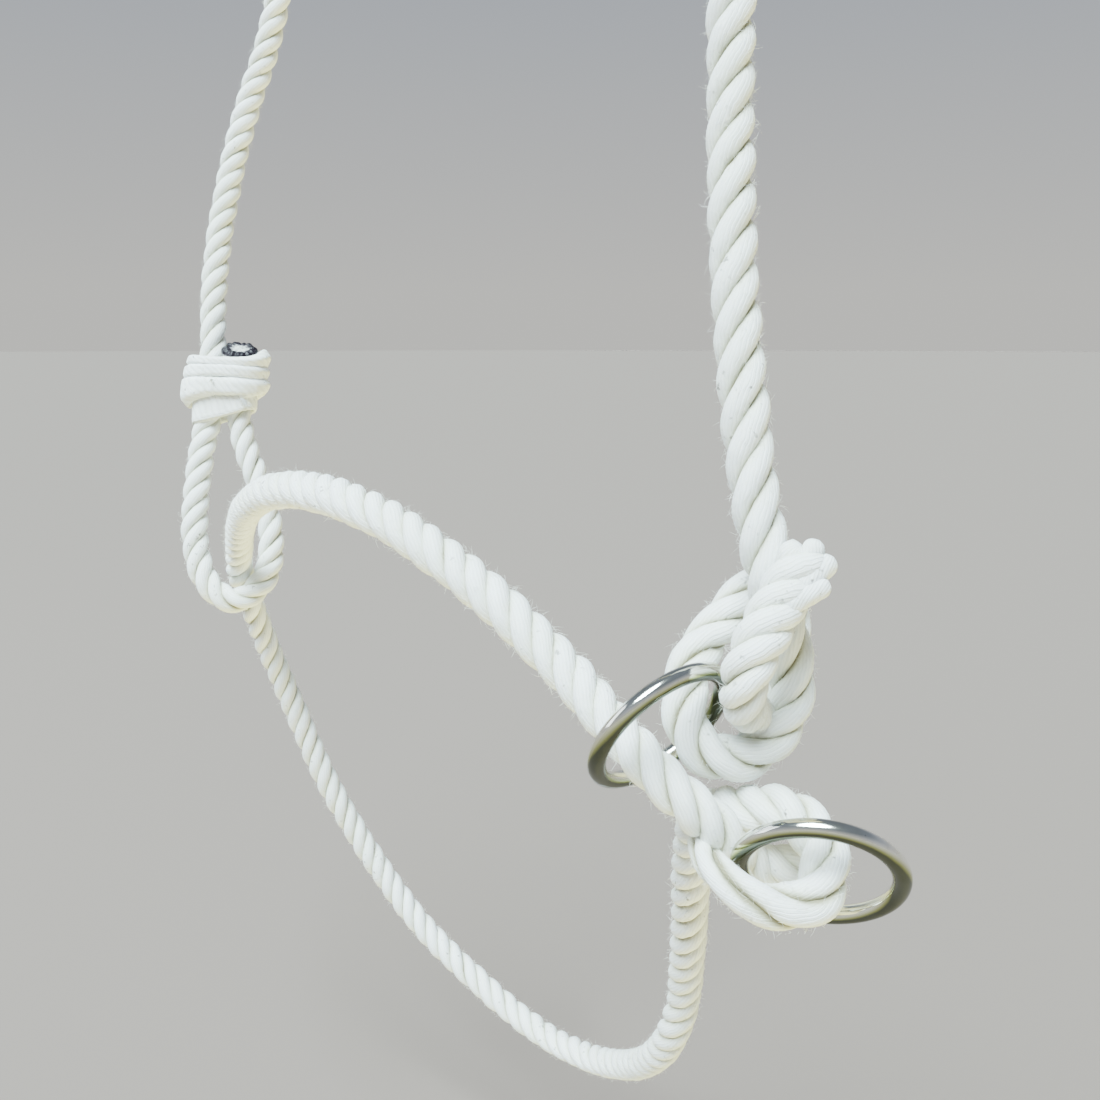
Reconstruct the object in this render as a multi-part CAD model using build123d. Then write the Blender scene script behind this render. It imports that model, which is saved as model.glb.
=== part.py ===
from build123d import *
import os
from math import radians, tan

# Hand-made rope halter, hung by its crown on a wall hook, millimetres.
# Origin: underside of the crown where it hangs. +X runs along the wall, +Y into it, +Z up.
# Two lengths of three-strand rope make it: the head rope (seized eye, cheek, crown, cheek,
# knot) and the nose rope (noseband, chin loop, knot). Each knot holds one steel ring.

# Driving dimensions
ROPE = 9.5                 # free rope, across its three strands
KNOT_ROPE = 8.6            # the same rope squeezed in a tight knot
TIP_ROPE = 6.4             # its last end, pinched under the noseband
RING_MEAN_RADIUS = 14.45   # rings of about 25 mm (1 inch) inside
RING_WIRE = 3.5
ARC_SHARE = 0.45           # share of the shorter run that a corner's arc may use
TURN_COUNT = 3             # seizing turns round the eye's two legs
TURN_HEIGHT = 6.6          # soft turns, pressed flat against each other
TURN_THICKNESS = 4.6
TURN_PITCH = 5.6
LEG_SPACING = 10.6         # between the two legs inside the seizing
SEIZING_BASE = (-119.6, -48.9, -372.6)
BAND_HEIGHT = 9
BAND_THICKNESS = 1.1
BAND_LEG_SPACING = 11.4    # the legs spread a little below the turns
BAND_BASE = (-118.1, -50.6, -385.0)
LEG_DIRECTION = (-0.10, 0.14, 0.985)
ACROSS_LEGS = (0.74, 0.67, 0.0)
END_RADIUS = 6.2           # rope end, melted and spread to stop it fraying
END_HEIGHT = 4.2
END_ROUNDING = 1.6
END_BASE = (-117.3, -43.0, -359.4)
END_DIRECTION = (0.24, -0.03, 0.985)

UPPER_RING = ((129.5, -88.3, -425.4), (0.846, -0.052, -0.531))
LOWER_RING = ((156.4, -74.6, -449.6), (0.457, -0.707, -0.539))

# Head rope, from the tail of the eye to the cut end of the knot
EYE = [
    (-117.3, -43, -359.4), (-117, -44.5, -367.5), (-115.9, -46.4, -380), (-112.4, -46.8, -392),
    (-103.8, -44.6, -409), (-96.5, -45, -426), (-93.5, -50, -439.5), (-97.5, -60.5, -448),
    (-107, -67.5, -440.5), (-114, -67.5, -426), (-118.5, -63, -407), (-122.5, -57, -389),
    (-122.9, -53.3, -379), (-125.5, -50, -358),
]
CROWN = [
    (-131, -46.5, -340), (-137, -39, -312), (-138, -27, -273), (-133, -14, -238),
    (-124, -8, -184), (-109, -5, -124), (-88, -3, -66), (-58, -1, -20), (-24, 0, 4.75),
    (24, 0, 4.75), (57, -4, -20), (80, -13, -66), (96, -25, -124), (104, -39, -184),
    (111, -51, -244), (117, -58, -306), (126, -66, -346), (134, -70, -376),
]
UPPER_LOOP = [
    (138.5, -71, -392), (140.2, -68.5, -402.4), (140.6, -64.3, -412.5), (141.3, -63.3, -422),
    (141.1, -68.1, -429.2), (137.9, -74.8, -433.8), (132.1, -81.3, -431.5), (128, -80.9, -423.5),
    (125.8, -75.3, -415.3), (126, -67.5, -410.4), (128, -60.2, -403.8),
]
UPPER_TAIL = [
    (129, -52, -400.5), (127.9, -47.2, -407.6), (128.5, -47.8, -419.3), (131.2, -53.9, -427.6),
    (134.4, -63.8, -427.5), (140.6, -76.9, -422.6), (144, -83.3, -415.9), (145.2, -82, -409.7),
    (146, -78.3, -403.4), (147, -74, -397.7), (148.3, -70.2, -392),
]

# Nose rope, from its end inside the lower knot, round the nose and chin, to its other end
NOSE_END = [
    (145.3, -55.9, -456.8), (145.9, -61, -456.1), (144.3, -65.1, -456.3), (141.1, -67.9, -456.6),
    (138.2, -71.3, -454.9), (138.2, -77.2, -449.1), (138.3, -83.6, -443.1),
    (135.4, -87.4, -438.7), (130.6, -89.2, -435.1),
]
NOSEBAND = [
    (122, -90.5, -429), (104, -91, -417.5), (83, -96, -403.5), (58.5, -101, -392.5),
    (32, -103, -389), (4, -99, -392.5), (-22.1, -91, -399.2), (-49.9, -79.8, -407.1),
    (-73.8, -69.5, -416.7), (-92.2, -60.9, -427.1),
]
CHIN = [
    (-104.6, -54.8, -437.5), (-113.9, -48.2, -447.9), (-121.6, -40.5, -459.7), (-126, -33, -477),
    (-122.5, -25.5, -500), (-113, -19, -529), (-100, -9, -558), (-80, 1, -586), (-54, 9, -602.5),
    (-22, 17, -616), (10, 15, -609.5), (38, 4, -591), (60, -10, -570), (74, -18, -552),
    (80, -20, -536), (87, -28, -518), (96, -38, -499), (106, -50, -478),
]
LOWER_LOOP = [
    (116, -61, -460.4), (124.7, -69.5, -450), (135.3, -74.5, -444.5), (143.8, -73.5, -441.4),
    (149, -71.6, -441.7), (153.2, -70.9, -444.7), (156.1, -71.8, -448.5), (158.2, -75.7, -451.6),
    (157.5, -80, -453.6), (154.8, -83.8, -453.9), (151.7, -87, -452.2),
]
LOWER_TIP = [
    (148.1, -89, -450.6), (143.9, -89, -449), (138.3, -85.3, -448.7), (133.4, -80.1, -448.7),
]


def largest_arcs(points):
    """Radius of the largest arc that the two runs at each inner point have room for."""
    radii = []
    for before, corner, after in zip(points, points[1:], points[2:]):
        run_in = Vector(corner) - Vector(before)
        run_out = Vector(after) - Vector(corner)
        half_turn = radians(run_in.get_angle(run_out)) / 2
        radii.append(ARC_SHARE * min(run_in.length, run_out.length) / tan(half_turn))
    return radii


def rope_pieces(route_parts, diameters):
    """Cut one rope's route in the middle of the run between parts, and sweep each part."""
    route = [point for part in route_parts for point in part]
    radii = largest_arcs(route)
    pieces = []
    start = 0
    for part, diameter in zip(route_parts, diameters):
        end = start + len(part)
        points = list(route[start:end])
        first, last = max(start, 1), min(end, len(route) - 1)
        if start > 0:
            points.insert(0, (Vector(route[start - 1]) + Vector(route[start])) / 2)
        if end < len(route):
            points.append((Vector(route[end - 1]) + Vector(route[end])) / 2)
        pieces.append(tube(points, radii[first - 1:last - 1], diameter))
        start = end
    return pieces


def tube(points, radii, diameter):
    """A round tube along straight runs joined by tangent arcs."""
    path = FilletPolyline(*points, radius=radii)
    section = Plane(origin=path @ 0, z_dir=path % 0) * Circle(diameter / 2)
    print(f"  length {path.length:.0f}, radii " + " ".join(f"{r:.0f}" for r in radii))
    return sweep(section, path=path)


def ring(centre, normal):
    """A welded ring of round wire."""
    return Plane(origin=centre, z_dir=normal) * Torus(RING_MEAN_RADIUS, RING_WIRE / 2)


def seizing_turns():
    """The seizing cord: soft rounded turns stacked round both legs of the eye."""
    seat = Plane(origin=SEIZING_BASE, x_dir=ACROSS_LEGS, z_dir=LEG_DIRECTION)
    middle_line = SlotCenterToCenter(LEG_SPACING, ROPE + TURN_THICKNESS).wire()
    side = Plane(origin=middle_line @ 0, z_dir=middle_line % 0, x_dir=(0, 0, 1))
    turn = sweep(side * Ellipse(TURN_HEIGHT / 2, TURN_THICKNESS / 2), path=middle_line)
    stack = turn
    for level in range(1, TURN_COUNT):
        stack += Pos(0, 0, level * TURN_PITCH) * turn
    return seat * stack


def seizing_band():
    """The flat band under the turns, an upright slot-shaped collar."""
    seat = Plane(origin=BAND_BASE, x_dir=ACROSS_LEGS, z_dir=LEG_DIRECTION)
    collar = SlotCenterToCenter(BAND_LEG_SPACING, ROPE + 2 * BAND_THICKNESS)
    collar -= SlotCenterToCenter(BAND_LEG_SPACING, ROPE)
    return seat * extrude(collar, BAND_HEIGHT)


def melted_end():
    """The melted, mushroomed end of the eye's tail, which leans a little outwards."""
    seat = Plane(origin=END_BASE, z_dir=END_DIRECTION)
    cap = Cylinder(END_RADIUS, END_HEIGHT, align=(Align.CENTER, Align.CENTER, Align.MIN))
    return seat * fillet(cap.edges(), END_ROUNDING)


def build():
    head_names = ["left_eye_rope", "crown_rope", "upper_knot_rope", "upper_knot_tail"]
    head_sizes = [ROPE, ROPE, KNOT_ROPE, KNOT_ROPE]
    nose_names = ["nose_rope_end", "noseband_rope", "chin_rope", "lower_knot_rope",
                  "lower_knot_tip"]
    nose_sizes = [KNOT_ROPE, ROPE, ROPE, KNOT_ROPE, TIP_ROPE]
    nose_route = [NOSE_END, NOSEBAND, CHIN, LOWER_LOOP, LOWER_TIP]
    nodes = dict(zip(head_names, rope_pieces([EYE, CROWN, UPPER_LOOP, UPPER_TAIL], head_sizes)))
    nodes |= zip(nose_names, rope_pieces(nose_route, nose_sizes))
    nodes["upper_ring"] = ring(*UPPER_RING)
    nodes["lower_ring"] = ring(*LOWER_RING)
    nodes["seizing_turns"] = seizing_turns()
    nodes["seizing_band"] = seizing_band()
    nodes["melted_rope_end"] = melted_end()
    return nodes


os.makedirs("parts", exist_ok=True)
for name, solid in build().items():
    solid.label = name
    export_step(solid, f"parts/{name}.step")
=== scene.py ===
import math

import bpy
import numpy as np
from mathutils import Euler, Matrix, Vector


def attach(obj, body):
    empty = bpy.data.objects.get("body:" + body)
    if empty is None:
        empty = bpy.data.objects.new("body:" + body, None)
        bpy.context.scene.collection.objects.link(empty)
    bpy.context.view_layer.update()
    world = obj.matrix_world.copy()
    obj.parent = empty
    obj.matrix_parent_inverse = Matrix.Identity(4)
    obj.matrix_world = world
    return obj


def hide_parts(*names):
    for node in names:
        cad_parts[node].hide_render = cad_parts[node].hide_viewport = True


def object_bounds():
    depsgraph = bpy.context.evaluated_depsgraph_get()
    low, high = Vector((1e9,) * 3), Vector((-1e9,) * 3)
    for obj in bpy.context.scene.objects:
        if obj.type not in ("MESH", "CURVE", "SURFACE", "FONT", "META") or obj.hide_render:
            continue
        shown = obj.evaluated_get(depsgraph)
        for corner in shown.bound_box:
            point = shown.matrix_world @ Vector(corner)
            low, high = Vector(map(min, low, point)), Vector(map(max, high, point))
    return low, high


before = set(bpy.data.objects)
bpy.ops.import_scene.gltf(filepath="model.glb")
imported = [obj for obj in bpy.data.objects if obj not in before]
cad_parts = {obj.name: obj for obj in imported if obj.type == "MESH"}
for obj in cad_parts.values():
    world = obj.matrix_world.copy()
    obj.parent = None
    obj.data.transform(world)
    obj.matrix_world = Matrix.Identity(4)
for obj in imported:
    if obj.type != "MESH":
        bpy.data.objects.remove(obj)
cad_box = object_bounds()

# Rope halter: two three-strand cotton ropes, two steel rings, a cotton seizing.
# All lengths in metres, in the frame of the CAD model.
MM = 0.001
FULL_TURN = 2 * math.pi
ROPE = 9.5 * MM
HELIX_SHARE = 0.265          # strand centre line from the rope's centre, over the rope's diameter
STRAND_SHARE = 0.237         # strand radius over the rope's diameter
STRANDS = 3
ROW_STEP = 0.7 * MM          # between the rings of points along a strand
SIDES = 32                   # points round a strand
YARNS = 9                    # yarns that show round a strand
YARN_RIPPLE = 0.022          # height of the yarns, over the strand's radius
YARN_TURN = 300.0            # radians that the yarns turn in a metre of strand
STRAND_FLATTEN = 0.98        # strands press each other a little flat
STRAND_WIDEN = 1.05
START_ROUNDING = 1.5 * MM    # length over which a strand's two ends are rounded
END_ROUNDING = 1.9 * MM
STRAND_LUMPS = 0.022         # strength of the small lumps on a strand

# Slow unevenness along a rope: (strength, length of the wave in metres)
LAY_DRIFT = (0.14, 0.03)     # all strands together, radians round the rope
STRAND_DRIFT = (0.07, 0.011)  # each strand alone, radians round the rope
HELIX_DRIFT = (0.04, 0.012)  # distance from the rope's centre, a share
STRAND_SWELL = (0.04, 0.008)  # strand radius, a share
LUMP_SWELL = (0.06, 0.003)   # radius of a loose strand end, a share

FIBRE_LENGTH = 2.6 * MM
FIBRE_RADIUS = 0.028 * MM

# The groove value is the distance from the rope's centre over its radius: the material paints
# shade where it lies low. The rounded tips of the strands get no painted shade.
UNSHADED = 0.97
UNSHADED_LENGTH = 5 * MM

# The seizing that closes the eye. The legs and the bases of the turns and the band are the CAD
# model's; the melted end stands 2.3 mm from its CAD place and leans more.
LEG_DIRECTION = (-0.10, 0.14, 0.985)
ACROSS_LEGS = (0.74, 0.67, 0.0)
LEG_SPACING = 10.6 * MM
BAND_LEG_SPACING = 11.4 * MM
SEIZING_BASE = (-0.1196, -0.0489, -0.3726)
BAND_BASE = (-0.1181, -0.0506, -0.3850)
END_BASE = (-0.1164, -0.0444, -0.3610)
END_DIRECTION = (0.36, -0.14, 0.92)
END_RADIUS = 6.3 * MM
END_HEIGHT = 4.2 * MM
TURN_RADIUS = (9.5 + 4.6) / 2 * MM   # from a leg's middle to the middle of a turn
BAND_RADIUS = 5.3 * MM
RIGHT_SIDE = (0.94, 0.34)    # across and forward: where the turns' right side faces

# Each turn from the bottom up, in millimetres: levels, heights and pushes outward, each at the
# left, the front, the right and the back, then the thickness
TURNS = [
    ((-1.6, 0.6, 2.2, 0.4), (10.6, 7.0, 5.2, 6.6), (1.5, 0.0, 0.8, 0.0), 4.9),
    ((5.6, 6.1, 6.9, 6.2), (5.6, 5.3, 5.6, 5.6), (1.0, 0.0, 0.5, 0.0), 4.7),
    ((9.7, 9.4, 12.0, 11.1), (4.1, 3.7, 6.0, 5.5), (-0.5, 0.0, 1.0, 0.0), 4.6),
]
BAND = ((6.7, 6.3, 6.3, 6.0), (7.6, 8.5, 8.5, 8.0), (0.6, 0.0, -0.4, 0.0), 1.4)
BAND_SLANT = 3.6 * MM        # the band's lower edge rises this much from left to right

# Control points of the two ropes, the same as the CAD routes
EYE = [
    (-0.1173, -0.043, -0.3594), (-0.117, -0.0445, -0.3675), (-0.1159, -0.0464, -0.38),
    (-0.1124, -0.0468, -0.392), (-0.1038, -0.0446, -0.409), (-0.0965, -0.045, -0.426),
    (-0.0935, -0.05, -0.4395), (-0.0975, -0.0605, -0.448), (-0.107, -0.0675, -0.4405),
    (-0.114, -0.0675, -0.426), (-0.1185, -0.063, -0.407), (-0.1225, -0.057, -0.389),
    (-0.1229, -0.0533, -0.379), (-0.1255, -0.05, -0.358),
]
CROWN = [
    (-0.131, -0.0465, -0.34), (-0.137, -0.039, -0.312), (-0.138, -0.027, -0.273),
    (-0.133, -0.014, -0.238), (-0.124, -0.008, -0.184), (-0.109, -0.005, -0.124),
    (-0.088, -0.003, -0.066), (-0.058, -0.001, -0.02), (-0.024, 0, 0.00475), (0.024, 0, 0.00475),
    (0.057, -0.004, -0.02), (0.08, -0.013, -0.066), (0.096, -0.025, -0.124),
    (0.104, -0.039, -0.184), (0.111, -0.051, -0.244), (0.117, -0.058, -0.306),
    (0.126, -0.066, -0.346), (0.134, -0.07, -0.376),
]
UPPER_KNOT = [
    (0.1385, -0.071, -0.392), (0.1402, -0.0685, -0.4024), (0.1406, -0.0643, -0.4125),
    (0.1413, -0.0633, -0.422), (0.1411, -0.0681, -0.4292), (0.1379, -0.0748, -0.4338),
    (0.1321, -0.0813, -0.4315), (0.128, -0.0809, -0.4235), (0.1258, -0.0753, -0.4153),
    (0.126, -0.0675, -0.4104), (0.128, -0.0602, -0.4038), (0.129, -0.052, -0.4005),
    (0.1279, -0.0472, -0.4076), (0.1285, -0.0478, -0.4193), (0.1312, -0.0539, -0.4276),
    (0.1344, -0.0638, -0.4275), (0.1406, -0.0769, -0.4226), (0.144, -0.0833, -0.4159),
    (0.1452, -0.082, -0.4097), (0.146, -0.0783, -0.4034), (0.147, -0.074, -0.3977),
    (0.1483, -0.0702, -0.392),
]
NOSE_END = [
    (0.1453, -0.0559, -0.4568), (0.1459, -0.061, -0.4561), (0.1443, -0.0651, -0.4563),
    (0.1411, -0.0679, -0.4566), (0.1382, -0.0713, -0.4549), (0.1382, -0.0772, -0.4491),
    (0.1383, -0.0836, -0.4431), (0.1354, -0.0874, -0.4387), (0.1306, -0.0892, -0.4351),
]
NOSEBAND = [
    (0.122, -0.0905, -0.429), (0.104, -0.091, -0.4175), (0.083, -0.096, -0.4035),
    (0.0585, -0.101, -0.3925), (0.032, -0.103, -0.389), (0.004, -0.099, -0.3925),
    (-0.0221, -0.091, -0.3992), (-0.0499, -0.0798, -0.4071), (-0.0738, -0.0695, -0.4167),
    (-0.0922, -0.0609, -0.4271),
]
CHIN = [
    (-0.1046, -0.0548, -0.4375), (-0.1139, -0.0482, -0.4479), (-0.1216, -0.0405, -0.4597),
    (-0.126, -0.033, -0.477), (-0.1225, -0.0255, -0.5), (-0.113, -0.019, -0.529),
    (-0.1, -0.009, -0.558), (-0.08, 0.001, -0.586), (-0.054, 0.009, -0.6025),
    (-0.022, 0.017, -0.616), (0.01, 0.015, -0.6095), (0.038, 0.004, -0.591), (0.06, -0.01, -0.57),
    (0.074, -0.018, -0.552), (0.08, -0.02, -0.536), (0.087, -0.028, -0.518),
    (0.096, -0.038, -0.499), (0.106, -0.05, -0.478),
]
LOWER_KNOT = [
    (0.116, -0.061, -0.4604), (0.1247, -0.0695, -0.45), (0.1353, -0.0745, -0.4445),
    (0.1438, -0.0735, -0.4414), (0.149, -0.0716, -0.4417), (0.1532, -0.0709, -0.4447),
    (0.1561, -0.0718, -0.4485), (0.1582, -0.0757, -0.4516), (0.1575, -0.08, -0.4536),
    (0.1548, -0.0838, -0.4539), (0.1517, -0.087, -0.4522), (0.1481, -0.089, -0.4506),
    (0.1439, -0.089, -0.449), (0.1383, -0.0853, -0.4487), (0.1334, -0.0801, -0.4487),
]

# Along each rope: (share of the rope's length, metres for one full turn of its strands)
HEAD_LAY = [
    (0.0, 0.021), (0.05, 0.0215), (0.13, 0.022), (0.2, 0.0225), (0.8, 0.0235), (0.87, 0.025),
    (0.93, 0.027), (0.955, 0.023), (0.97, 0.018), (1.0, 0.0165),
]
NOSE_LAY = [
    (0.0, 0.015), (0.04, 0.02), (0.1, 0.020), (0.17, 0.0175), (0.24, 0.024), (0.36, 0.026),
    (0.42, 0.0217), (0.68, 0.022), (0.8, 0.022), (0.84, 0.028), (0.9, 0.027), (0.925, 0.017),
    (0.945, 0.018), (0.965, 0.044), (1.0, 0.05),
]
# (share of the rope's length, thickness over the free rope's)
HEAD_GIRTH = [
    (0.0, 0.93), (0.045, 0.93), (0.07, 0.99), (0.88, 1.0), (0.89, 0.97), (0.902, 0.97),
    (0.915, 1.02), (0.93, 1.04), (0.957, 1.04), (0.963, 0.89), (0.972, 0.89), (0.98, 0.96),
    (0.987, 1.05), (1.0, 1.06),
]
NOSE_GIRTH = [
    (0.0, 0.95), (0.05, 0.95), (0.07, 0.95), (0.1, 1.0), (0.9, 1.0), (0.94, 1.03), (0.968, 0.98),
    (0.981, 0.73), (0.99, 0.69), (1.0, 0.62),
]
# Rounded ends of the strands that spread at the knot's tail
TAIL_LUMPS = [
    [(0.1465, -0.0743, -0.3992), (0.1460, -0.0728, -0.3947), (0.1455, -0.0715, -0.3907)],
    [(0.1477, -0.0744, -0.3979), (0.1493, -0.0728, -0.3931), (0.1501, -0.0702, -0.3894)],
    [(0.1487, -0.0756, -0.3990), (0.1513, -0.0730, -0.3950), (0.1526, -0.0690, -0.3926)],
    [(0.1487, -0.0768, -0.4006), (0.1515, -0.0749, -0.3981), (0.1532, -0.0711, -0.3967)],
]
# Ends of the seizing cord, tucked between its turns
TUCKS = [(-0.1142, -0.0569, -0.3686), (-0.1128, -0.0569, -0.3739)]
TUCK_HEADING = (0.75, -0.55, -0.35)
# Loose end of the seizing cord, coming out under its turns
SEIZING_TAIL = [
    (-0.1102, -0.0485, -0.3731), (-0.1087, -0.0462, -0.3734), (-0.1087, -0.0431, -0.3726),
    (-0.1112, -0.0391, -0.3716),
]
# Loose yarn ends at the right of the seizing band
FRAY_START = (-0.1076, -0.0493, -0.3754)
FRAY_HEADING = (0.28, 0.61, -0.74)

# The melted end, from its skirt up over the rim to its middle: (height over END_HEIGHT, radius
# over END_RADIUS, how charred it is)
END_RINGS = [
    (-0.42, 0.76, 0.0), (0.0, 0.93, 0.0), (0.22, 0.985, 0.1), (0.42, 1.0, 0.4),
    (0.62, 0.985, 0.85), (0.78, 0.93, 1.2), (0.90, 0.84, 1.3), (0.965, 0.73, 1.25),
    (0.93, 0.62, 0.9), (0.86, 0.50, 0.4), (0.85, 0.36, 0.15), (0.88, 0.20, 0.05),
    (0.885, 0.05, 0.0),
]


# ---------------------------------------------------------------- camera
def add_camera():
    """Right of the halter and in front of it, at the height of the eye's seizing."""
    data = bpy.data.cameras.new("camera")
    data.lens = 36.0
    data.sensor_width = 36.0
    data.clip_start = 0.01
    camera = bpy.data.objects.new("camera", data)
    camera.location = (0.260, -0.236, -0.354)
    camera.rotation_euler = Euler((math.radians(79.1), 0.0, math.radians(47.5)))
    bpy.context.collection.objects.link(camera)
    bpy.context.scene.camera = camera


# ---------------------------------------------------------------- lines and frames
def route_line(points, samples=14):
    """Points along the smooth spline that has a rope's route as its control points."""
    data = bpy.data.curves.new("route", "CURVE")
    data.dimensions = "3D"
    data.resolution_u = samples
    spline = data.splines.new("NURBS")
    spline.points.add(len(points) - 1)
    for control, place in zip(spline.points, points):
        control.co = (*place, 1.0)
    spline.order_u = 3
    spline.use_endpoint_u = True
    curve = bpy.data.objects.new("route", data)
    mesh = bpy.data.meshes.new_from_object(curve)
    line = np.array([vertex.co[:] for vertex in mesh.vertices])
    bpy.data.objects.remove(curve)
    bpy.data.meshes.remove(mesh)
    return line


def even_line(line, step):
    """The same line with evenly spaced points, and the distance along it to each."""
    gaps = np.linalg.norm(np.diff(line, axis=0), axis=1)
    keep = np.r_[True, gaps > 1e-9]
    line = line[keep]
    along = np.r_[0.0, np.cumsum(np.linalg.norm(np.diff(line, axis=0), axis=1))]
    rows = max(2, int(round(along[-1] / step)) + 1)
    places = np.linspace(0.0, along[-1], rows)
    return np.stack([np.interp(places, along, line[:, k]) for k in range(3)], axis=1), places


def unit(vectors):
    return vectors / np.linalg.norm(vectors, axis=-1, keepdims=True)


def circle(count):
    """Evenly spaced angles round a full turn."""
    return np.arange(count) * FULL_TURN / count


def steady_frames(line):
    """Tangent and two cross directions along a line, turning as little as they can."""
    tangents = unit(np.gradient(line, axis=0))
    any_side = (0.31, 0.55, 0.77)
    first = np.cross(tangents[0], any_side)
    normals = [first / np.linalg.norm(first)]
    for tangent in tangents[1:]:
        moved = normals[-1] - tangent * np.dot(normals[-1], tangent)
        normals.append(moved / np.linalg.norm(moved))
    normals = np.array(normals)
    return tangents, normals, np.cross(tangents, normals)


def smooth_noise(places, scale, seed):
    """Gentle random wave along a length, from -1 to 1."""
    draw = np.random.default_rng(seed)
    knots = np.arange(places[0] - 3 * scale, places[-1] + 4 * scale, scale)
    values = draw.uniform(-1.0, 1.0, len(knots))
    t = (places - knots[0]) / scale
    index = t.astype(int)
    part = t - index
    part = part * part * (3 - 2 * part)
    return values[index] * (1 - part) + values[index + 1] * part


def drift(places, wave, seed):
    """Gentle random wave of a (strength, length of the wave)."""
    strength, scale = wave
    return strength * smooth_noise(places, scale, seed)


def table_value(shares, table):
    """Values read from a table of (share of the whole length, value)."""
    return np.interp(shares, [share for share, _ in table], [value for _, value in table])


# ---------------------------------------------------------------- meshes
LAP_GAP = 8 * MM             # a longer step along a tube is where its loop closes


def add_piece(name, mesh, material):
    """Puts a smooth-shaded mesh of one material into the scene."""
    mesh.polygons.foreach_set("use_smooth", np.ones(len(mesh.polygons), dtype=bool))
    mesh.materials.append(material)
    piece = bpy.data.objects.new(name, mesh)
    bpy.context.collection.objects.link(piece)
    return piece


class Shape:
    """Collects rows of points into one mesh, with a yarn map and a groove value."""

    def __init__(self):
        self.points = []
        self.faces = []
        self.yarn = []
        self.groove = []
        self.count = 0
        self.lap = 0.0

    def add_tube(self, rings, yarn_along, groove, loop=False):
        """rings: rows x sides x 3. Each end of an open tube is closed by one face."""
        rows, sides = rings.shape[:2]
        start = self.count
        self.points.append(rings.reshape(-1, 3))
        around = np.tile(np.arange(sides) / sides, rows)
        self.yarn.append(np.stack([around, np.repeat(yarn_along, sides)], axis=1))
        self.groove.append(groove.reshape(-1))
        self.count += rows * sides
        last = rows if loop else rows - 1
        if loop:
            self.lap = yarn_along[-1] + yarn_along[1]
        for row in range(last):
            a = start + row * sides
            b = start + ((row + 1) % rows) * sides
            for side in range(sides):
                after = (side + 1) % sides
                self.faces.append((a + side, a + after, b + after, b + side))
        if not loop:
            tip = start + (rows - 1) * sides
            self.faces.append(tuple(start + side for side in reversed(range(sides))))
            self.faces.append(tuple(tip + side for side in range(sides)))

    def make(self, name, material):
        """The finished piece. Where a tube closes, round it or along it, its yarn map runs on."""
        mesh = bpy.data.meshes.new(name)
        mesh.from_pydata(np.concatenate(self.points).tolist(), [], self.faces)
        yarn = np.concatenate(self.yarn)
        corners = np.zeros(len(mesh.loops), dtype=np.int32)
        mesh.loops.foreach_get("vertex_index", corners)
        uv = yarn[corners]
        starts = np.zeros(len(mesh.polygons), dtype=np.int32)
        totals = np.zeros(len(mesh.polygons), dtype=np.int32)
        mesh.polygons.foreach_get("loop_start", starts)
        mesh.polygons.foreach_get("loop_total", totals)
        quads = starts[totals == 4][:, None] + np.arange(4)[None, :]
        across = uv[quads, 0]
        wraps = (np.ptp(across, axis=1) > 0.5)[:, None] & (across < 0.5)
        uv[quads, 0] = across + wraps
        length = uv[quads, 1]
        closing = (np.ptp(length, axis=1) > LAP_GAP)[:, None] & (length < LAP_GAP)
        uv[quads, 1] = length + closing * self.lap
        layer = mesh.uv_layers.new(name="yarn")
        layer.data.foreach_set("uv", uv.reshape(-1))
        value = mesh.attributes.new("groove", "FLOAT", "POINT")
        value.data.foreach_set("value", np.concatenate(self.groove))
        mesh.update()
        return add_piece(name, mesh, material)


def rounded_tip(rows_left, radius, step):
    """Share of the full radius on the rows next to a rounded strand end."""
    depth = np.clip(rows_left * step / radius, 0.0, 1.0)
    return np.sqrt(np.clip(1.0 - (1.0 - depth) ** 2, 0.0, 1.0))


def soft_lumps(places, around, seed, strength):
    """Uneven swelling of a soft strand, along it and round it: nine random waves."""
    draw = np.random.default_rng(seed)
    waves, shortest, longest = 9, 2.5 * MM, 9 * MM
    swell = np.zeros((len(places), len(around)))
    for _ in range(waves):
        turns = draw.integers(0, 5)
        pace = FULL_TURN / draw.uniform(shortest, longest)
        shift = smooth_noise(places, 0.014, int(draw.integers(1, 10000))) * 2.5
        swell += np.sin(pace * places[:, None] + shift[:, None] + turns * around[None, :]
                        + draw.uniform(0, FULL_TURN))
    return 1 + strength * swell / math.sqrt(waves)


def round_rings(line, normals, binormals, reach, around):
    """Rings of points round a line, at a reach that has a row for each ring."""
    return (
        line[:, None, :]
        + normals[:, None, :] * (reach * np.cos(around))[:, :, None]
        + binormals[:, None, :] * (reach * np.sin(around))[:, :, None]
    )


def strand_rings(centres, core, radius, yarn_phase, uneven):
    """Rings of points round one strand; core is the rope's centre line beside it."""
    tangents = unit(np.gradient(centres, axis=0))
    outward = centres - core
    outward = unit(outward - tangents * np.sum(outward * tangents, axis=1, keepdims=True))
    sideways = np.cross(tangents, outward)
    around = circle(SIDES) + math.pi
    ripple = 1.0 + YARN_RIPPLE * np.cos(YARNS * (around[None, :] - yarn_phase[:, None]))
    reach = radius[:, None] * ripple * uneven
    return (
        centres[:, None, :]
        + outward[:, None, :] * (reach * np.cos(around) * STRAND_FLATTEN)[:, :, None]
        + sideways[:, None, :] * (reach * np.sin(around) * STRAND_WIDEN)[:, :, None]
    )


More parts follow.
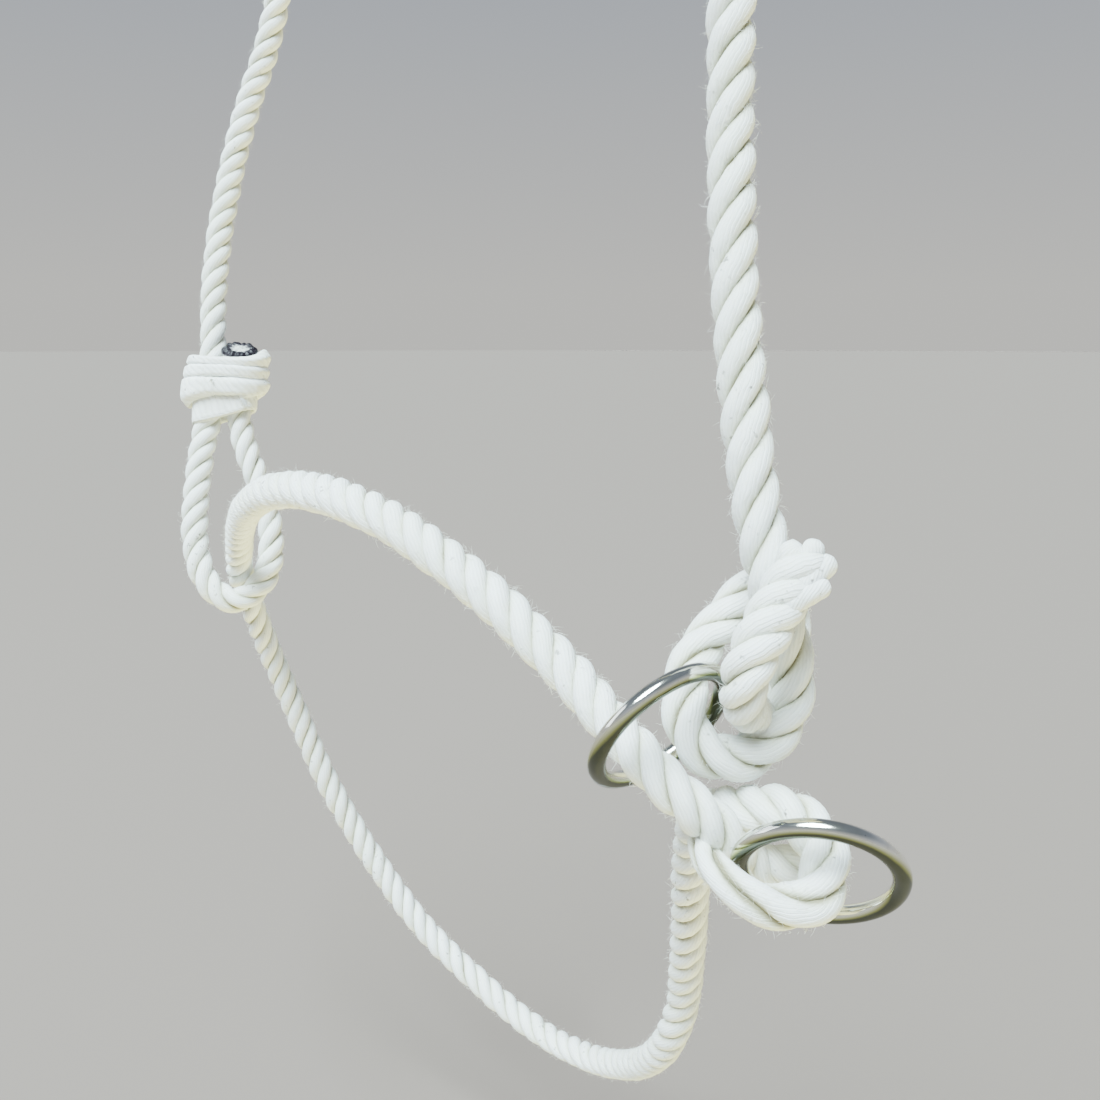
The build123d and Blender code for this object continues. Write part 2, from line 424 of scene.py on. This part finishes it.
def rope_strands(shape, route, lay, girth, start_phase, seed):
    """Adds the three strands of a rope along a route. Returns its centre line."""
    core, places = even_line(route_line(route), ROW_STEP)
    _, normals, binormals = steady_frames(core)
    pitch = table_value(places / places[-1], lay)
    size = ROPE * table_value(places / places[-1], girth)
    turn = start_phase + FULL_TURN * np.r_[0.0, np.cumsum(np.diff(places) / pitch[1:])]
    turn += drift(places, LAY_DRIFT, seed)
    rows = np.arange(len(places))
    from_tip = np.minimum(places, places[-1] - places)
    # Near the rope's ends the groove value is raised, so the rounded tips get no painted shade.
    unshaded_tips = UNSHADED - 0.5 * np.clip(from_tip / UNSHADED_LENGTH, 0.0, 1.0)
    for strand in range(STRANDS):
        angle = turn + strand * FULL_TURN / STRANDS
        angle = angle + drift(places, STRAND_DRIFT, seed + 20 + strand)
        away = np.cos(angle)[:, None] * normals + np.sin(angle)[:, None] * binormals
        helix = size * HELIX_SHARE * (1 + drift(places, HELIX_DRIFT, seed + 3 + strand))
        centres = core + away * helix[:, None]
        radius = size * STRAND_SHARE * (1 + drift(places, STRAND_SWELL, seed + 11 + strand))
        radius = radius * rounded_tip(rows + 0.05, START_ROUNDING, ROW_STEP)
        radius = radius * rounded_tip(rows[::-1] + 0.05, END_ROUNDING, ROW_STEP)
        uneven = soft_lumps(places, circle(SIDES), seed + 40 + strand, STRAND_LUMPS)
        rings = strand_rings(centres, core, radius, -places * YARN_TURN + strand, uneven)
        groove = np.linalg.norm(rings - core[:, None, :], axis=2) / (size[:, None] / 2)
        shape.add_tube(rings, places, np.maximum(groove, unshaded_tips[:, None]))
    return core


def lump(shape, points, radius, seed):
    """One soft rounded strand end, along three or four points."""
    step, yarns, yarn_turn = 0.35 * MM, 6, 260.0
    line, places = even_line(route_line(points, 10), step)
    _, normals, binormals = steady_frames(line)
    rows = np.arange(len(places))
    swell = radius * (1 + drift(places, LUMP_SWELL, seed))
    swell = swell * rounded_tip(rows[::-1] + 0.03, radius * 1.05, step)
    around = circle(24)
    ripple = 1 + 0.03 * np.cos(yarns * (around[None, :] + yarn_turn * places[:, None]))
    rings = round_rings(line, normals, binormals, swell[:, None] * ripple, around)
    shape.add_tube(rings, places, np.full(rings.shape[:2], UNSHADED))


def add_fuzz(name, spots, outward, along, draw, long, thick, material):
    """Fine loose fibres that stand and lie on a surface, as thin three-sided tubes."""
    count = len(spots)
    steps = np.array([-0.12, 0.35, 0.72, 1.0])   # shares of the length; the root is buried
    widths = np.array([1.0, 0.9, 0.6, 0.15])
    rings_each, sides = len(steps), 3
    points_each = rings_each * sides
    reach = long * draw.uniform(0.35, 1.0, count) ** 1.5
    lean = draw.uniform(-1.0, 1.0, (count, 1))
    side = np.cross(along, outward)
    heading = unit(outward * draw.uniform(0.25, 0.9, (count, 1)) + along * lean
                   + side * draw.uniform(-0.8, 0.8, (count, 1)))
    curl = unit(along * draw.uniform(-1, 1, (count, 1)) + side * draw.uniform(-1, 1, (count, 1))
                - 0.3 * outward)
    bend = draw.uniform(0.1, 0.7, (count, 1))
    middle = spots[:, None, :] + heading[:, None, :] * (reach[:, None] * steps)[:, :, None]
    middle = middle + curl[:, None, :] * (reach[:, None] * bend * steps ** 2)[:, :, None]
    first = unit(np.cross(heading, curl))
    second = np.cross(heading, first)
    corners = circle(sides)
    fine = thick * draw.uniform(0.6, 1.3, count)
    width = fine[:, None] * widths[None, :]
    rings = (
        middle[:, :, None, :]
        + first[:, None, None, :] * (width[:, :, None] * np.cos(corners))[:, :, :, None]
        + second[:, None, None, :] * (width[:, :, None] * np.sin(corners))[:, :, :, None]
    )
    start = np.arange(count)[:, None] * points_each
    row = start[:, :, None] + np.arange(rings_each - 1)[None, :, None] * sides
    around = np.arange(sides)[None, None, :]
    after = (around + 1) % sides
    quads = np.stack([row + around, row + after, row + sides + after, row + sides + around],
                     axis=-1).reshape(-1, 4)
    last = points_each - sides
    caps = np.concatenate([start + np.arange(sides)[::-1], start + last + np.arange(sides)])
    mesh = bpy.data.meshes.new(name)
    mesh.from_pydata(rings.reshape(-1, 3).tolist(), [], quads.tolist() + caps.tolist())
    return add_piece(name, mesh, material)


def rope_fuzz(name, core, girth, count, seed, material):
    """Loose fibres all along a rope, rooted just under the surface of its strands."""
    draw = np.random.default_rng(seed)
    tangents, normals, binormals = steady_frames(core)
    from_end = 4
    picks = draw.integers(from_end, len(core) - from_end, count)
    size = ROPE * table_value(picks / len(core), girth)
    angle = draw.uniform(0, FULL_TURN, count)[:, None]
    outward = np.cos(angle) * normals[picks] + np.sin(angle) * binormals[picks]
    depth = draw.uniform(0.40, 0.475, count) * size
    spots = core[picks] + outward * depth[:, None]
    return add_fuzz(name, spots, outward, tangents[picks], draw, FIBRE_LENGTH, FIBRE_RADIUS,
                    material)


# ---------------------------------------------------------------- the seizing
WRAP_SIDES = 36              # points round a turn or the band
CAP_SIDES = 120              # points round the melted end
SEAM_LENGTH = 3 * MM         # unevenness fades out this close to where a turn closes
STRAY_RADIUS = 0.10 * MM     # of a loose yarn end


def leg_axes(direction=LEG_DIRECTION):
    """Directions across the two legs, back towards the wall, and up along the legs."""
    up = unit(np.array(direction))
    across = np.array(ACROSS_LEGS)
    across = unit(across - up * np.dot(across, up))
    return across, np.cross(up, across), up


def slot_path(spacing, radius, step=0.45 * MM):
    """A slot-shaped path round two legs: flat places, outward directions, distances."""
    half = spacing / 2
    bend = math.pi * radius
    total = 2 * spacing + 2 * bend
    rows = int(round(total / step))
    along = np.arange(rows) * total / rows
    places = np.zeros((rows, 2))
    outward = np.zeros((rows, 2))
    for row, d in enumerate(along):
        if d < spacing:
            places[row], outward[row] = (half - d, radius), (0.0, 1.0)
        elif d < spacing + bend:
            turn = math.pi / 2 + (d - spacing) / radius
            outward[row] = (math.cos(turn), math.sin(turn))
            places[row] = np.array((-half, 0.0)) + radius * outward[row]
        elif d < 2 * spacing + bend:
            places[row], outward[row] = (-half + d - spacing - bend, -radius), (0.0, -1.0)
        else:
            turn = -math.pi / 2 + (d - 2 * spacing - bend) / radius
            outward[row] = (math.cos(turn), math.sin(turn))
            places[row] = np.array((half, 0.0)) + radius * outward[row]
    return places, outward, along


def wrap(shape, base, spacing, radius, profile, seed, calm_share=1.0, flat=1.0, yarns=5,
         twist=0.5, slant=0.0):
    """One closed soft turn round both legs. The profile is a row of TURNS; slant lifts the lower
    edge towards the right, and a flat below 1 squares the section."""
    levels, heights, pushes, thickness = profile
    thick = thickness * MM
    across, forward, up = leg_axes()
    places, outward, along = slot_path(spacing, radius)
    share = places[:, 0] / (spacing / 2 + radius)
    left = np.clip(-share, 0.0, 1.0) ** 2
    right = np.clip(outward @ np.array(RIGHT_SIDE), 0.0, 1.0) ** 4 * (1 - left)
    front = (1 - left - right) * (1 - outward[:, 1]) / 2
    weights = np.stack((left, front, right, 1 - left - front - right), axis=1)
    seam = np.minimum(along, along[-1] - along) / SEAM_LENGTH
    calm = calm_share * np.clip(seam, 0.0, 1.0)
    height = weights @ np.array(heights) * MM - slant * share
    height = height * (1 + 0.06 * calm * smooth_noise(along, 0.008, seed))
    rise = weights @ np.array(levels) * MM + slant * share / 2
    rise = rise + 0.25 * MM * calm * smooth_noise(along, 0.013, seed + 1)
    push = weights @ np.array(pushes) * MM
    push = push + 0.3 * MM * calm * smooth_noise(along, 0.008, seed + 2)
    middle = (
        np.array(base)[None, :]
        + across[None, :] * (places[:, 0] + outward[:, 0] * push)[:, None]
        + forward[None, :] * (places[:, 1] + outward[:, 1] * push)[:, None]
        + up[None, :] * rise[:, None]
    )
    out = across[None, :] * outward[:, :1] + forward[None, :] * outward[:, 1:]
    around = circle(WRAP_SIDES) + math.pi
    turns = round(twist * along[-1] / (FULL_TURN * thick))
    phase = FULL_TURN * turns * along / (along[-1] + along[1])
    ripple = 1 + 0.055 * np.cos(yarns * around[None, :] + phase[:, None])
    cosine, sine = np.cos(around), np.sin(around)
    cosine = np.sign(cosine) * np.abs(cosine) ** flat
    sine = np.sign(sine) * np.abs(sine) ** flat
    ripple = ripple * soft_lumps(along, around, seed + 5, 0.035 * calm[:, None])
    rings = (
        middle[:, None, :]
        + out[:, None, :] * (ripple * cosine[None, :] * thick / 2)[:, :, None]
        + up[None, None, :] * (ripple * sine[None, :] * height[:, None] / 2)[:, :, None]
    )
    # Painted shade: a lower groove value at the top and bottom edges of each turn, where it
    # presses on its neighbours.
    shade = np.repeat((UNSHADED - 0.10 * np.abs(sine) ** 6)[None, :], len(along), axis=0)
    shape.add_tube(rings, along, shade, loop=True)


def stray_yarns(shape, start, heading, spread, long, count, seed, shade=0.96):
    """A little brush of frayed yarn ends."""
    draw = np.random.default_rng(seed)
    start = np.array(start)
    heading = unit(np.array(heading))
    steps = np.linspace(0, 1, 7)[:, None]
    width = STRAY_RADIUS * np.array([1.0, 1.0, 0.95, 0.85, 0.7, 0.45, 0.12])
    for _ in range(count):
        aim = unit(heading + spread * draw.uniform(-1, 1, 3))
        sag = 0.35 * draw.uniform(-1, 1, 3)
        reach = long * draw.uniform(0.5, 1.0)
        root = start + 0.6 * STRAY_RADIUS * 6 * draw.uniform(-1, 1, 3)
        line = root + aim * reach * steps + sag * reach * steps ** 2
        _, normals, binormals = steady_frames(line)
        rings = round_rings(line, normals, binormals, width[:, None], circle(6))
        shape.add_tube(rings, steps[:, 0] * reach, np.full(rings.shape[:2], shade))


def melted_end(material):
    """The rope's end, melted and spread: a wrinkled cap with a charred rim. Its groove value is
    how charred it is."""
    across, forward, up = leg_axes(END_DIRECTION)
    draw = np.random.default_rng(61)
    around = circle(CAP_SIDES)
    folds_round = (5, 8, 11, 17)
    waves = [(k, draw.uniform(0, FULL_TURN), draw.uniform(0.4, 1.0)) for k in folds_round]
    wrinkle = sum(a * np.sin(k * around + p) for k, p, a in waves) / 2.6
    rings = []
    for lift, share, _ in END_RINGS:
        folds = 1 + 0.055 * wrinkle * min(1.0, max(0.0, lift) * 2.2)
        reach = END_RADIUS * share * folds
        bump = 0.34 * MM * wrinkle * (lift > 0.5) * min(1.0, share * 1.6)
        high = END_HEIGHT * lift + bump
        rings.append(
            np.array(END_BASE)[None, :]
            + across[None, :] * (reach * np.cos(around))[:, None]
            + forward[None, :] * (reach * np.sin(around))[:, None]
            + up[None, :] * np.broadcast_to(high, CAP_SIDES)[:, None]
        )
    shape = Shape()
    char = np.array([charred for _, _, charred in END_RINGS])
    char = np.repeat(char[:, None], CAP_SIDES, axis=1)
    shape.add_tube(np.array(rings), np.linspace(0, 0.01, len(END_RINGS)), char)
    return shape.make("melted_end", material)


# ---------------------------------------------------------------- materials
WHITE = (0.93, 0.95, 0.95)
CREAM = (0.88, 0.90, 0.84)
SEIZING_CREAM = (0.89, 0.91, 0.86)
PAINTED_FLANK_SHADE = (0.66, 0.66, 0.42)         # painted shade, low on a strand's side
PAINTED_GROOVE_SHADE = (0.25, 0.22, 0.13)    # painted shade, deep between two strands
COTTON_DIRT = (0.16, 0.14, 0.12)
STEEL_SPOTS = (0.22, 0.19, 0.14)
FLOOR_COLOUR = (0.193, 0.152, 0.133)


def set_stops(band, stops):
    """Fills a colour ramp from a list of (position, colour)."""
    while len(band.elements) < len(stops):
        band.elements.new(0.5)
    for element, (place, colour) in zip(band.elements, stops):
        element.position = place
        element.color = (*colour, 1.0)


class Nodes:
    """Short calls for building one material's node tree."""

    def __init__(self, name):
        self.material = bpy.data.materials.new(name)
        self.material.use_nodes = True
        self.tree = self.material.node_tree
        self.shader = self.tree.nodes["Principled BSDF"]

    def new(self, kind, **settings):
        node = self.tree.nodes.new(kind)
        for key, value in settings.items():
            setattr(node, key, value)
        return node

    def link(self, source, target):
        self.tree.links.new(source, target)

    def value(self, socket, amount):
        self.shader.inputs[socket].default_value = amount

    def math(self, operation, first, second=None, third=None, clamp=False):
        node = self.new("ShaderNodeMath", operation=operation, use_clamp=clamp)
        for slot, entry in enumerate((first, second, third)):
            if entry is None:
                continue
            if isinstance(entry, (int, float)):
                node.inputs[slot].default_value = entry
            else:
                self.link(entry, node.inputs[slot])
        return node.outputs[0]

    def noise(self, vector, scale, detail=3.0, rough=0.55):
        node = self.new("ShaderNodeTexNoise")
        node.inputs["Scale"].default_value = scale
        node.inputs["Detail"].default_value = detail
        node.inputs["Roughness"].default_value = rough
        self.link(vector, node.inputs["Vector"])
        return node.outputs["Fac"]

    def ramp(self, value, stops):
        node = self.new("ShaderNodeValToRGB")
        set_stops(node.color_ramp, stops)
        self.link(value, node.inputs["Fac"])
        return node.outputs["Color"]

    def mix(self, factor, first, second, blend="MIX"):
        node = self.new("ShaderNodeMix", data_type="RGBA", blend_type=blend)
        for slot, entry in ((0, factor), (6, first), (7, second)):
            if isinstance(entry, (int, float)):
                node.inputs[slot].default_value = entry
            elif isinstance(entry, tuple):
                node.inputs[slot].default_value = (*entry, 1.0)
            else:
                self.link(entry, node.inputs[slot])
        return node.outputs[2]

    def bump(self, height, strength, distance, normal=None):
        node = self.new("ShaderNodeBump")
        node.inputs["Strength"].default_value = strength
        node.inputs["Distance"].default_value = distance
        self.link(height, node.inputs["Height"])
        if normal is not None:
            self.link(normal, node.inputs["Normal"])
        return node.outputs["Normal"]

    def stretched(self, vector, scale):
        node = self.new("ShaderNodeMapping")
        node.inputs["Scale"].default_value = scale
        self.link(vector, node.inputs["Vector"])
        return node.outputs["Vector"]


def soft_shader(nodes):
    """Constants of dry white cotton."""
    nodes.value("Roughness", 0.95)
    nodes.value("Specular IOR Level", 0.15)
    nodes.value("Sheen Weight", 0.12)
    nodes.value("Sheen Roughness", 0.55)
    nodes.value("Subsurface Weight", 0.14)
    nodes.value("Subsurface Radius", (0.0015, 0.0014, 0.0010))
    nodes.value("Subsurface Scale", 1.0)


def cotton(name, shade, yarns, twist, specks, lines):
    """Soft white cotton: yarns along each strand, fibres, patchy tint, painted shade low on the
    strands and between them, and specks of dirt. Twist is in turns of the yarns for each metre;
    specks and lines are strengths."""
    nodes = Nodes(name)
    place = nodes.new("ShaderNodeTexCoord").outputs["Object"]
    yarn_map = nodes.new("ShaderNodeUVMap", uv_map="yarn").outputs["UV"]
    parts = nodes.new("ShaderNodeSeparateXYZ")
    nodes.link(yarn_map, parts.inputs[0])
    groove = nodes.new("ShaderNodeAttribute", attribute_name="groove").outputs["Fac"]

    slide = nodes.math("MULTIPLY", parts.outputs["Y"], twist)
    around = nodes.math("ADD", parts.outputs["X"], slide)
    wander = nodes.math("MULTIPLY", nodes.noise(place, 210.0, 3.0), 0.11)
    around = nodes.math("ADD", around, wander)
    wave = nodes.math("SINE", nodes.math("MULTIPLY", around, FULL_TURN * yarns))
    ridge = nodes.math("ABSOLUTE", wave)
    fine = nodes.math("SINE", nodes.math("MULTIPLY", around, FULL_TURN * yarns * 4))
    fibre_vector = nodes.new("ShaderNodeCombineXYZ")
    nodes.link(nodes.math("MULTIPLY", around, 90.0), fibre_vector.inputs[0])
    nodes.link(nodes.math("MULTIPLY", parts.outputs["Y"], 260.0), fibre_vector.inputs[1])
    fibres = nodes.noise(fibre_vector.outputs[0], 1.6, 4.0, 0.65)
    lumps = nodes.noise(place, 420.0, 3.0)
    felt = nodes.noise(place, 2600.0, 2.0)

    tint = nodes.noise(place, 34.0, 3.0)
    base = nodes.mix(nodes.math("MULTIPLY_ADD", tint, 2.2, -0.75, clamp=True), WHITE, shade)
    # Painted shade: darker fine lines between the yarns of a strand.
    painted_yarn_shade = nodes.math("MULTIPLY_ADD", ridge, lines, 1.0 - 0.75 * lines)
    fibre_shade = nodes.math("MULTIPLY_ADD", fibres, 0.18, 0.90)
    grey = nodes.math("MULTIPLY", painted_yarn_shade, fibre_shade, clamp=True)
    lined = nodes.new("ShaderNodeCombineXYZ")
    for slot in range(3):
        nodes.link(grey, lined.inputs[slot])
    base = nodes.mix(1.0, base, lined.outputs[0], "MULTIPLY")
    # Painted shade: a yellow-green tint low on the strands' sides, and dark brown deep between
    # strands.
    flank = nodes.math("MULTIPLY_ADD", groove, -3.0, 2.85, clamp=True)
    base = nodes.mix(nodes.math("MULTIPLY", flank, 0.85), base, PAINTED_FLANK_SHADE)
    depth = nodes.math("MULTIPLY_ADD", groove, -6.0, 4.95, clamp=True)
    base = nodes.mix(nodes.math("MULTIPLY", depth, 0.85), base, PAINTED_GROOVE_SHADE)
    dirt = nodes.noise(place, 560.0, 2.0)
    dirt = nodes.math("MULTIPLY_ADD", dirt, 12.0, -7.7, clamp=True)
    dirt_patch = nodes.math("MULTIPLY_ADD", nodes.noise(place, 46.0, 2.0), 6.0, -2.7, clamp=True)
    dirt = nodes.math("MULTIPLY", nodes.math("MULTIPLY", dirt, dirt_patch), specks)
    base = nodes.mix(dirt, base, COTTON_DIRT)
    nodes.link(base, nodes.shader.inputs["Base Color"])

    height = nodes.math("MULTIPLY", ridge, 0.6)
    for relief, strength in ((fine, 0.12), (fibres, 0.8), (felt, 0.35)):
        height = nodes.math("ADD", height, nodes.math("MULTIPLY", relief, strength))
    normal = nodes.bump(height, 0.8, 0.17 * MM)
    normal = nodes.bump(lumps, 0.6, 0.30 * MM, normal)
    nodes.link(normal, nodes.shader.inputs["Normal"])
    soft_shader(nodes)
    return nodes.material


def loose_cotton():
    """Single loose cotton fibres."""
    nodes = Nodes("loose_cotton")
    place = nodes.new("ShaderNodeTexCoord").outputs["Object"]
    tint = nodes.noise(place, 60.0, 2.0)
    colour = nodes.ramp(tint, [(0.3, (0.93, 0.94, 0.90)), (0.7, (0.86, 0.86, 0.76))])
    nodes.link(colour, nodes.shader.inputs["Base Color"])
    soft_shader(nodes)
    return nodes.material


def charred():
    """Melted and burnt cotton: a dark glossy rim and a grey-white matt middle."""
    nodes = Nodes("charred_cotton")
    place = nodes.new("ShaderNodeTexCoord").outputs["Object"]
    rim = nodes.new("ShaderNodeAttribute", attribute_name="groove").outputs["Fac"]
    patch = nodes.noise(place, 620.0, 4.0, 0.7)
    burn = nodes.math("ADD", rim, nodes.math("MULTIPLY_ADD", patch, 1.5, -0.75))
    colour = nodes.ramp(burn, [
        (0.05, (0.60, 0.61, 0.58)), (0.32, (0.34, 0.34, 0.33)), (0.52, (0.06, 0.045, 0.06)),
        (0.75, (0.010, 0.007, 0.012)),
    ])
    nodes.value("Specular IOR Level", 0.3)
    nodes.link(colour, nodes.shader.inputs["Base Color"])
    rough = nodes.math("MULTIPLY_ADD", burn, -0.35, 0.75, clamp=True)
    nodes.link(rough, nodes.shader.inputs["Roughness"])
    normal = nodes.bump(patch, 0.9, 0.5 * MM)
    nodes.link(normal, nodes.shader.inputs["Normal"])
    return nodes.material


def ring_steel():
    """Polished nickel-plated steel with faint scratches, and painted shade and reflection that
    turn it yellow-green and dark underneath.
    """
    nodes = Nodes("ring_steel")
    place = nodes.new("ShaderNodeTexCoord").outputs["Object"]
    cloud = nodes.noise(place, 120.0, 4.0)
    scratch = nodes.noise(nodes.stretched(place, (900.0, 120.0, 2600.0)), 1.0, 3.0, 0.7)
    pits = nodes.noise(place, 1500.0, 2.0)
    colour = nodes.ramp(cloud, [(0.35, (0.92, 0.92, 0.90)), (0.62, (0.76, 0.75, 0.66))])
    spots = nodes.math("MULTIPLY_ADD", pits, 10.0, -6.9, clamp=True)
    colour = nodes.mix(nodes.math("MULTIPLY", spots, 0.5), colour, STEEL_SPOTS)
    # Painted shade and reflection: the colour goes from white through yellow-green to near black
    # the more the wire faces down.
    facing = nodes.new("ShaderNodeSeparateXYZ")
    nodes.link(nodes.new("ShaderNodeTexCoord").outputs["Normal"], facing.inputs[0])
    height = nodes.math("MULTIPLY_ADD", facing.outputs["Z"], 0.5, 0.43)
    height = nodes.math("ADD", height, nodes.math("MULTIPLY", cloud, 0.14))
    painted_shade_and_reflection = nodes.ramp(height, [
        (0.0, (0.02, 0.025, 0.015)), (0.38, (0.04, 0.05, 0.02)), (0.46, (0.38, 0.40, 0.13)),
        (0.56, (0.78, 0.79, 0.60)), (0.64, (1.0, 1.0, 1.0)),
    ])
    colour = nodes.mix(0.92, colour, painted_shade_and_reflection, "MULTIPLY")
    nodes.link(colour, nodes.shader.inputs["Base Color"])
    rough = nodes.math("MULTIPLY_ADD", scratch, 0.08, 0.05)
    rough = nodes.math("ADD", rough, nodes.math("MULTIPLY", cloud, 0.05))
    nodes.link(rough, nodes.shader.inputs["Roughness"])
    nodes.link(nodes.bump(scratch, 0.10, 0.02 * MM), nodes.shader.inputs["Normal"])
    nodes.value("Metallic", 1.0)
    return nodes.material


# ---------------------------------------------------------------- the halter
add_camera()
rope_cotton = cotton("rope_cotton", CREAM, yarns=YARNS, twist=48.0, specks=0.8, lines=0.13)
seizing_cotton = cotton("seizing_cotton", SEIZING_CREAM, yarns=4, twist=55.0, specks=0.9,
                        lines=0.16)
fibre_cotton = loose_cotton()

head_shape = Shape()
head_route = EYE + CROWN + UPPER_KNOT
head_core = rope_strands(head_shape, head_route, HEAD_LAY, HEAD_GIRTH, start_phase=0.4, seed=5)
for number, tip in enumerate(TAIL_LUMPS):
    lump(head_shape, tip, 2.15 * MM, 70 + number)
head_rope = head_shape.make("head_rope", rope_cotton)
nose_shape = Shape()
nose_route = NOSE_END + NOSEBAND + CHIN + LOWER_KNOT
nose_core = rope_strands(nose_shape, nose_route, NOSE_LAY, NOSE_GIRTH, start_phase=1.3, seed=29)
nose_rope = nose_shape.make("nose_rope", rope_cotton)
head_fuzz = rope_fuzz("head_rope_fuzz", head_core, HEAD_GIRTH, 20000, 101, fibre_cotton)
nose_fuzz = rope_fuzz("nose_rope_fuzz", nose_core, NOSE_GIRTH, 15000, 102, fibre_cotton)

turns = Shape()
for number, profile in enumerate(TURNS):
    wrap(turns, SEIZING_BASE, LEG_SPACING, TURN_RADIUS, profile, 41 + number)
# Painted shade: the tucked yarn ends get a low groove value, so the material darkens them like a
# gap.
for number, tuck in enumerate(TUCKS):
    stray_yarns(turns, tuck, TUCK_HEADING, spread=0.5, long=1.7 * MM, count=9, seed=51 + number,
                shade=0.70)
lump(turns, SEIZING_TAIL, 2.0 * MM, 55)
seizing = turns.make("seizing_cord", seizing_cotton)
band_shape = Shape()
wrap(band_shape, BAND_BASE, BAND_LEG_SPACING, BAND_RADIUS, BAND, 44, calm_share=0.5, flat=0.55,
     yarns=12, twist=0.0, slant=BAND_SLANT)
stray_yarns(band_shape, FRAY_START, FRAY_HEADING, spread=0.35, long=4.6 * MM, count=34, seed=45)
band = band_shape.make("seizing_band_yarns", seizing_cotton)
cap = melted_end(charred())

for piece in (head_rope, nose_rope, head_fuzz, nose_fuzz, seizing, band, cap):
    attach(piece, "root")
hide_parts("left_eye_rope", "crown_rope", "upper_knot_rope", "upper_knot_tail")
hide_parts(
    "nose_rope_end", "noseband_rope", "chin_rope", "lower_knot_rope", "lower_knot_tip",
)
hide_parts("seizing_turns")
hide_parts("seizing_band")
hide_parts("melted_rope_end")

steel = ring_steel()
for name in ("upper_ring", "lower_ring"):
    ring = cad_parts[name]
    ring.data.materials.clear()
    ring.data.materials.append(steel)


# ---------------------------------------------------------------- floor and light
FLOOR_DROP = 0.06            # below the lowest point of the part
FLOOR_RADIUS = 30.0


def add_floor():
    """A wide round pale floor below the part. It casts no shadow, so the light that bounces off
    it can come from a lamp underneath."""
    mesh = bpy.data.meshes.new("floor")
    low = cad_box[0][2] - FLOOR_DROP
    turn = circle(96)
    rim = [(FLOOR_RADIUS * math.cos(a), FLOOR_RADIUS * math.sin(a), low) for a in turn]
    mesh.from_pydata(rim, [], [tuple(range(len(rim)))])
    floor = bpy.data.objects.new("floor", mesh)
    bpy.context.collection.objects.link(floor)
    nodes = Nodes("floor")
    nodes.value("Base Color", (*FLOOR_COLOUR, 1.0))
    nodes.value("Roughness", 0.9)
    mesh.materials.append(nodes.material)
    floor.visible_shadow = False


def add_lamp(name, kind, source, strength, colour):
    """A lamp that shines away from its source direction. Returns its object."""
    data = bpy.data.lights.new(name, kind)
    data.energy = strength
    data.color = colour
    light = bpy.data.objects.new(name, data)
    flat = math.hypot(source[0], source[1])
    turn = math.atan2(source[1], source[0]) + math.pi / 2
    light.rotation_euler = (math.atan2(flat, source[2]), 0.0, turn)
    bpy.context.collection.objects.link(light)
    return light


def add_sun(name, source, strength, spread, colour):
    add_lamp(name, "SUN", source, strength, colour).data.angle = spread


def add_area(name, place, aim, size, power, colour):
    light = add_lamp(name, "AREA", np.array(place) - np.array(aim), power, colour)
    light.data.size = size
    light.location = place


def add_world():
    """Pale at the horizon, a soft darker blue-grey towards the zenith."""
    world = bpy.data.worlds.new("studio")
    bpy.context.scene.world = world
    world.use_nodes = True
    tree = world.node_tree
    back = tree.nodes["Background"]
    direction = tree.nodes.new("ShaderNodeTexCoord").outputs["Generated"]
    split = tree.nodes.new("ShaderNodeSeparateXYZ")
    tree.links.new(direction, split.inputs[0])
    ramp = tree.nodes.new("ShaderNodeValToRGB")
    stops = [
        (0.0, (0.0, 0.0, 0.0)), (0.48, (0.0, 0.0, 0.0)), (0.485, (0.85, 0.85, 0.81)),
        (0.52, (0.85, 0.85, 0.81)), (0.64, (0.58, 0.62, 0.68)), (0.8, (0.24, 0.28, 0.34)),
    ]
    set_stops(ramp.color_ramp, stops)
    height = tree.nodes.new("ShaderNodeMath")
    height.operation = "MULTIPLY_ADD"
    height.inputs[1].default_value = 0.5
    height.inputs[2].default_value = 0.5
    tree.links.new(split.outputs["Z"], height.inputs[0])
    tree.links.new(height.outputs[0], ramp.inputs["Fac"])
    tree.links.new(ramp.outputs["Color"], back.inputs["Color"])
    back.inputs["Strength"].default_value = 0.8


add_floor()
add_sun("key", (0.20, -0.62, 1.0), 17.0, 0.65, (0.76, 0.965, 1.0))
add_area("side", (-0.9, -0.9, 0.1), (0.0, -0.05, -0.4), 0.7, 6.0, (0.85, 0.95, 1.0))
add_sun("bounce", (0.30, 0.15, -0.95), 8.0, 1.2, (1.0, 0.97, 0.34))
add_world()
